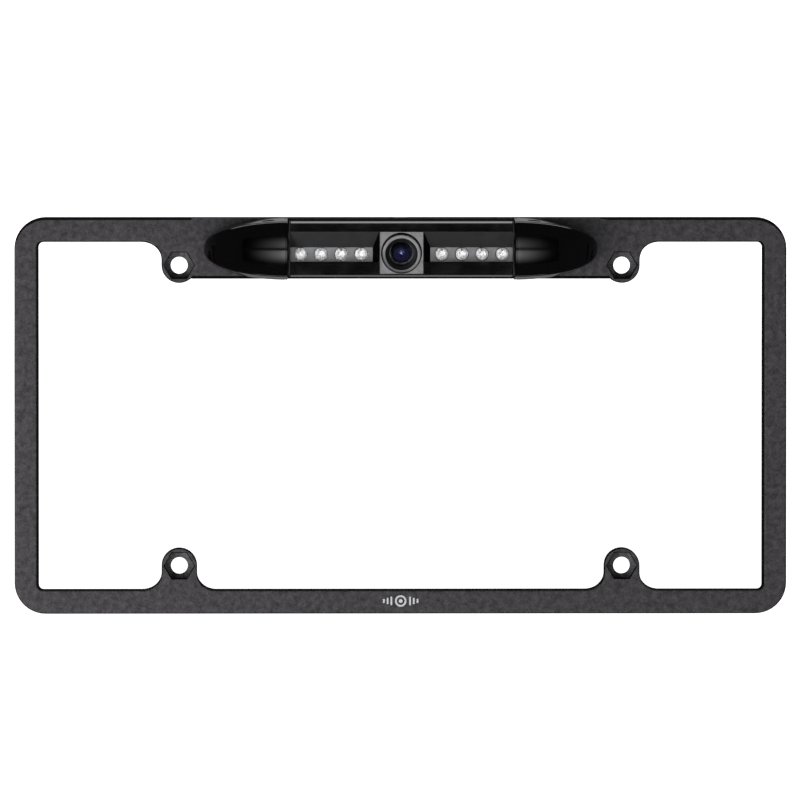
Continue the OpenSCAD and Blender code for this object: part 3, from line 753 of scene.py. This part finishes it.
# ------------------------------------------------------------------ lamps
def lamps(side, name):
    lo, hi = box_mm("leds_" + name)
    x0, pitch, z = lo[0] + 2.9, (hi[0] - lo[0] - 5.8) / 3, (lo[2] + hi[2]) / 2
    tip, back = lo[1], hi[1]
    c = tip + 2.5
    bm = bmesh.new()
    core = bmesh.new()
    die = bmesh.new()
    for k in range(4):
        x = x0 + pitch * k
        place = lambda p, x=x: (x + p[0], c + p[1], z + p[2])
        prof = [(max(0.0, 2.5 * math.sin(a)), -2.5 * math.cos(a)) for a in [math.pi / 2 * i / 14 for i in range(15)]]
        prof += [(2.5, back - c - 1.15), (2.55, back - c - 1.05), (2.85, back - c - 1.0), (2.9, back - c - 0.9), (2.9, back - c - 0.1), (2.8, back - c)]
        prof += [(1.2, back - c), (1.2, back - c - 0.3), (0, back - c - 0.3)]
        lathe_mm(bm, prof, 56, place)
        # white reflector with its cup, its ribs and the gap between the two posts
        rings, segs = 18, 60
        grid = []
        for i in range(1, rings + 1):
            r = 2.04 * i / rings
            row = []
            for j in range(segs):
                a = 2 * math.pi * j / segs
                y = 0.15
                if r < 0.75:
                    y = 0.05 + 0.25 * (1 - r / 0.75)
                elif r < 1.0:
                    y = -0.55 + (1.0 - r) * 2.4
                elif r < 1.25:
                    y = -0.55
                else:
                    y = -0.55 + (r - 1.25) * 0.8 + 0.22 * math.cos(5 * a + 0.6 + k * 1.3) * (r - 1.25) + 0.10 * math.sin(11 * a + k)
                up = abs((a - math.pi / 2 + math.pi) % (2 * math.pi) - math.pi)
                if up * r < 0.26 and r > 1.0:
                    y += 1.6
                elif abs(up - math.pi + 0.35) < 0.16 and 0.9 < r < 2.05:
                    y -= 0.3
                row.append(core.verts.new(Vector(place((r * math.cos(a), y, r * math.sin(a)))) * MM))
            grid.append(row)
        mid = core.verts.new(Vector(place((0, 0.32, 0))) * MM)
        for j in range(segs):
            core.faces.new((mid, grid[0][j], grid[0][(j + 1) % segs]))
        for a_, b_ in zip(grid, grid[1:]):
            for j in range(segs):
                core.faces.new((a_[j], a_[(j + 1) % segs], b_[(j + 1) % segs], b_[j]))
        # skirt and back, so that the reflector is a closed body
        skirt = [core.verts.new(Vector(place((2.04 * math.cos(2 * math.pi * j / segs), 3.2, 2.04 * math.sin(2 * math.pi * j / segs)))) * MM) for j in range(segs)]
        for j in range(segs):
            core.faces.new((grid[-1][j], grid[-1][(j + 1) % segs], skirt[(j + 1) % segs], skirt[j]))
        core.faces.new(list(reversed(skirt)))
        # die on the cup's floor with its drop of phosphor
        lathe_mm(die, [(0, -0.02), (0.30, 0.02), (0.5, 0.14), (0.58, 0.34), (0, 0.34)], 28, place)
    dome = new_object("lamp_domes_" + name, bm, MAT["clear_resin"])
    dome.visible_shadow = False
    take(dome, "leds_" + name)
    o = new_object("lamp_reflectors_" + name, core, MAT["reflector"], sharp=40)
    take(o, "led_dies_" + name)
    d = new_object("lamp_dies_" + name, die, MAT["phosphor"])
    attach(d, "camera_bar")


MAT["reflector"] = surface("reflector", (0.66, 0.66, 0.67), 0.30, grain=0.5, bump=0.05, vary=0.16, patch=0.9, second=(0.92, 0.92, 0.93))
MAT["phosphor"] = surface("phosphor", (0.85, 0.84, 0.78), 0.4, grain=0.2, bump=0.01, vary=0.05, patch=0.5)
lamps(1, "right")
lamps(-1, "left")

# ------------------------------------------------------------------ lens
AIM = math.radians(10)
LENS = Vector((0, AXIS_Y - 6.9, AXIS_Z - 2.05))


def lens_place(p):
    return (p[0] + LENS.x, LENS.y + p[1] * math.cos(AIM) - p[2] * math.sin(AIM), LENS.z + p[1] * math.sin(AIM) + p[2] * math.cos(AIM))


def ring_part(node, profile, segs=128, sharp=30):
    bm = bmesh.new()
    lathe_mm(bm, profile + profile[:1], segs, lens_place)
    bmesh.ops.remove_doubles(bm, verts=bm.verts[:], dist=1e-7)
    o = new_object(node + "_skin", bm, MAT["deep_black"] if node == "lens_retainer" else MAT[SLOT[node]], sharp=sharp)
    return take(o, node)


ring_part("lens_barrel", arc(6.62, 0.12, 0.12, 180, 270, 3) + arc(7.37, 0.38, 0.38, 270, 360, 5) + [(7.75, 2.3), (7.65, 2.4), (5.9, 2.4), (5.9, 8.5), (5.8, 8.6), (3.4, 8.6),
          (3.4, 8.3), (4, 8.3), (4, 4.4), (5.2, 4.4), (5.2, 2), (6.5, 2)])
ring_part("lens_retainer", [(4.85, 1.36), (4.93, 1.14), (5.05, 1.06), (5.42, 0.96), (5.46, 1.08), (5.54, 1.06), (5.58, 0.92), (5.95, 0.82), (6.1, 0.82), (6.36, 0.93), (6.45, 1.04),
          (6.45, 1.98), (5.15, 1.98), (5.15, 2.6), (4.85, 2.6)])

bm = bmesh.new()
outer = [(6.0 * math.sin(a), 6.4 - 6.0 * math.cos(a)) for a in [math.asin(5.12 / 6.0) * i / 20 for i in range(21)]]
inner = [(5.3 * math.sin(a), 6.4 - 5.3 * math.cos(a)) for a in [math.asin(4.75 / 5.3) * i / 18 for i in range(19)]]
lathe_mm(bm, [(0.0, 0.4)] + outer[1:] + [(5.12, 4.1)] + list(reversed(inner[1:])) + [(0.0, 1.1)], 96, lens_place)
glass = new_object("front_glass", bm, MAT["coated_glass"], sharp=40)
glass.visible_shadow = False
take(glass, "front_lens")

bm = bmesh.new()
el = [(4.6 * math.sin(a), 6.2 - 4.6 * math.cos(a)) for a in [math.asin(4.45 / 4.6) * i / 24 for i in range(25)]]
local = [(r, d) for r, d in el] + [(4.45, 5.3), (0, 5.3)]
element = None
lathe_mm(bm, [(0.0, local[0][1])] + local[1:], 80, lambda p: p)
element = new_object("second_element", bm, MAT["element"], sharp=60)
element.matrix_world = Matrix.Translation(LENS * MM) @ Matrix.Rotation(AIM, 4, "X")
bpy.context.view_layer.update()
take(element, "second_lens")

ring_part("aperture_stop", [(4.84, 5.4), (4.84, 5.7), (1.7, 5.7), (1.7, 5.55), (4.6, 5.4)])

# ------------------------------------------------------------------ the nodes that stay
for n, o in NODES.items():
    if o.hide_render:
        continue
    o.data.materials.clear()
    o.data.materials.append(MAT["anodised_black"] if n.startswith(("pivot_plug", "friction_washer")) else MAT["black_oxide"] if n.startswith("clamp_screw") else MAT[SLOT[n]])

# ------------------------------------------------------------------ stage, lights and camera
def emitter(name, color, strength):
    m = bpy.data.materials.new(name)
    m.use_nodes = True
    b = m.node_tree.nodes["Principled BSDF"]
    b.inputs["Base Color"].default_value = (0.9, 0.9, 0.9, 1)
    b.inputs["Roughness"].default_value = 0.9
    b.inputs["Emission Color"].default_value = (*color, 1)
    b.inputs["Emission Strength"].default_value = strength
    return m


bm = bmesh.new()
bmesh.ops.create_uvsphere(bm, u_segments=64, v_segments=32, radius=30.0)
dome = new_object("backdrop", bm, emitter("backdrop", (1, 1, 1), 1.35))
for f in ("diffuse", "glossy", "transmission", "shadow"):
    setattr(dome, "visible_" + f, False)
bm = bmesh.new()
bmesh.ops.create_circle(bm, cap_ends=True, radius=29.0, segments=96)
floor = new_object("floor", bm, emitter("floor", (1, 1, 1), 1.2))
floor.location.z = -0.55
for f in ("glossy", "transmission"):
    setattr(floor, "visible_" + f, False)

world = bpy.data.worlds.new("studio")
SC.world = world
world.use_nodes = True
world.node_tree.nodes["Background"].inputs["Color"].default_value = (1, 1, 1, 1)
world.node_tree.nodes["Background"].inputs["Strength"].default_value = 0.05


def area(name, center, target, sx, sy, radiance, color=(1, 1, 1)):
    """A rectangular soft light with that radiance, sx wide and sy high, in metres."""
    l = bpy.data.lights.new(name, "AREA")
    l.shape = "RECTANGLE"
    l.size, l.size_y = sx, sy
    l.energy = radiance * math.pi * sx * sy
    l.color = color
    o = bpy.data.objects.new(name, l)
    SC.collection.objects.link(o)
    o.location = center
    o.rotation_euler = (Vector(target) - Vector(center)).to_track_quat("-Z", "Y").to_euler()
    o.visible_camera = False
    return o


def ring(az, el, dist, target=(0, 0, 0.066)):
    a, e = math.radians(az), math.radians(el)
    return (target[0] + dist * math.sin(a) * math.cos(e), target[1] - dist * math.cos(a) * math.cos(e), target[2] + dist * math.sin(e))


def card(name, el0, el1, dist, half, radiance, fade, soft0, soft1):
    """A soft light card in front of the object, bright in the middle and fading out to both sides. It shows in reflections only."""
    target = Vector((0, -0.025, AXIS_Z * MM))
    bm = bmesh.new()
    rows = []
    for e in (el0, el1):
        rows.append([bm.verts.new((target.x + dist * math.tan(math.radians(a_)), target.y - dist, target.z + dist * math.tan(math.radians(e)))) for a_ in (-half, half)])
    bm.faces.new((rows[0][0], rows[0][1], rows[1][1], rows[1][0]))
    m = bpy.data.materials.new(name)
    m.use_nodes = True
    nt = m.node_tree
    b_ = nt.nodes["Principled BSDF"]
    b_.inputs["Base Color"].default_value = (0, 0, 0, 1)
    b_.inputs["Emission Color"].default_value = (1, 1, 1, 1)
    tc = nt.nodes.new("ShaderNodeTexCoord")
    sep = nt.nodes.new("ShaderNodeSeparateXYZ")
    nt.links.new(tc.outputs["Object"], sep.inputs[0])
    ab = nt.nodes.new("ShaderNodeMath")
    ab.operation = "ABSOLUTE"
    nt.links.new(sep.outputs["X"], ab.inputs[0])
    r = nt.nodes.new("ShaderNodeMapRange")
    r.inputs["From Min"].default_value = 0.0
    r.inputs["From Max"].default_value = dist * math.tan(math.radians(half))
    r.inputs["To Min"].default_value = 1.0
    r.inputs["To Max"].default_value = 0.0
    nt.links.new(ab.outputs[0], r.inputs["Value"])
    pw = nt.nodes.new("ShaderNodeMath")
    pw.operation = "POWER"
    pw.inputs[1].default_value = fade
    nt.links.new(r.outputs["Result"], pw.inputs[0])
    r = nt.nodes.new("ShaderNodeMath")
    r.operation = "MULTIPLY"
    r.inputs[1].default_value = radiance
    nt.links.new(pw.outputs[0], r.inputs[0])
    zc = target.z + dist * (math.tan(math.radians(el0)) + math.tan(math.radians(el1))) / 2
    zh = dist * (math.tan(math.radians(el1)) - math.tan(math.radians(el0))) / 2
    off = nt.nodes.new("ShaderNodeMath")
    off.operation = "SUBTRACT"
    off.inputs[1].default_value = zc
    nt.links.new(sep.outputs["Z"], off.inputs[0])
    mul = r
    for edge, inner in ((-zh, -zh + 2 * zh * soft0), (zh, zh - 2 * zh * soft1)):
        r2 = nt.nodes.new("ShaderNodeMapRange")
        r2.interpolation_type = "SMOOTHSTEP"
        r2.inputs["From Min"].default_value = min(edge, inner)
        r2.inputs["From Max"].default_value = max(edge, inner)
        r2.inputs["To Min"].default_value = 0.0 if edge < 0 else 1.0
        r2.inputs["To Max"].default_value = 1.0 if edge < 0 else 0.0
        nt.links.new(off.outputs[0], r2.inputs["Value"])
        last = mul
        mul = nt.nodes.new("ShaderNodeMath")
        mul.operation = "MULTIPLY"
        nt.links.new(last.outputs[0], mul.inputs[0])
        nt.links.new(r2.outputs["Result"], mul.inputs[1])
    nt.links.new(mul.outputs[0], b_.inputs["Emission Strength"])
    o = new_object(name, bm, m, smooth=False)
    o.visible_camera = o.visible_shadow = o.visible_diffuse = False
    return o


card("card_upper", 0.4, 15.0, 1.3, 45, 1.7, 3.3, 0.07, 0.75)
card("card_lower", -18.0, -1.75, 1.3, 45, 3.9, 3.3, 0.75, 0.06)
area("overhead", (0, -0.08, 1.15), (0, -0.02, 0.067), 2.4, 0.34, 5.5)
area("underneath", (0, -0.06, -1.0), (0, -0.02, 0.067), 0.9, 0.30, 2.4)
area("behind_high", (0, 1.5, 0.42), (0, 0, 0.067), 1.6, 0.5, 0.26)
area("behind_low", (0, 1.5, -0.15), (0, 0, 0.067), 1.6, 0.3, 0.12)
key = area("key", (-0.52, -0.42, -0.20), (0.0, 0, 0.0), 0.42, 0.42, 6.9)
fill = area("fill", (0.5, -1.3, -0.2), (0, 0, 0), 0.7, 0.7, 0.3)
black = bpy.data.collections.new("not_lit_by_key")
for n in ("end_housing_left_skin", "end_housing_right_skin"):
    black.objects.link(bpy.data.objects[n])
for n in ("front_glass", "second_element"):
    black.objects.link(bpy.data.objects[n])
for l in (key, fill):
    l.light_linking.receiver_collection = black
for c in black.collection_objects:
    c.light_linking.link_state = "EXCLUDE"
soft = area("soft", (-0.15, -0.80, 0.15), (0, 0, 0.065), 0.3, 0.3, 7.0)
small = bpy.data.collections.new("lit_by_soft")
for n in ("lamp_domes_left", "lamp_domes_right", "lamp_reflectors_left", "lamp_reflectors_right", "lamp_dies_left", "lamp_dies_right",
          "led_bezel_left_skin", "led_bezel_right_skin", "camera_block_skin"):
    small.objects.link(bpy.data.objects[n])
soft.light_linking.receiver_collection = small
glint = area("glint", (-0.01, -0.96, -0.235), (0, 0, 0.065), 0.11, 0.11, 22.0)
lit = bpy.data.collections.new("lit_by_glint")
lit.objects.link(bpy.data.objects["front_glass"])
glint.light_linking.receiver_collection = lit

cam = bpy.data.cameras.new("camera")
cam_o = bpy.data.objects.new("camera", cam)
SC.collection.objects.link(cam_o)
SC.camera = cam_o
D = 4.0
EL = math.radians(1.5)
target = Vector((-0.00028, FRONT * MM, 0.00625))
AZ = math.radians(-1.0)
cam_o.location = target + D * Vector((math.sin(AZ) * math.cos(EL), -math.cos(AZ) * math.cos(EL), math.sin(EL)))
cam_o.rotation_euler = (target - cam_o.location).to_track_quat("-Z", "Y").to_euler()
cam.sensor_width = 36
cam.lens = 36 * D / 0.3212
cam.clip_start, cam.clip_end = 0.05, 100
SC.view_settings.view_transform = "Standard"
SC.view_settings.look = "None"
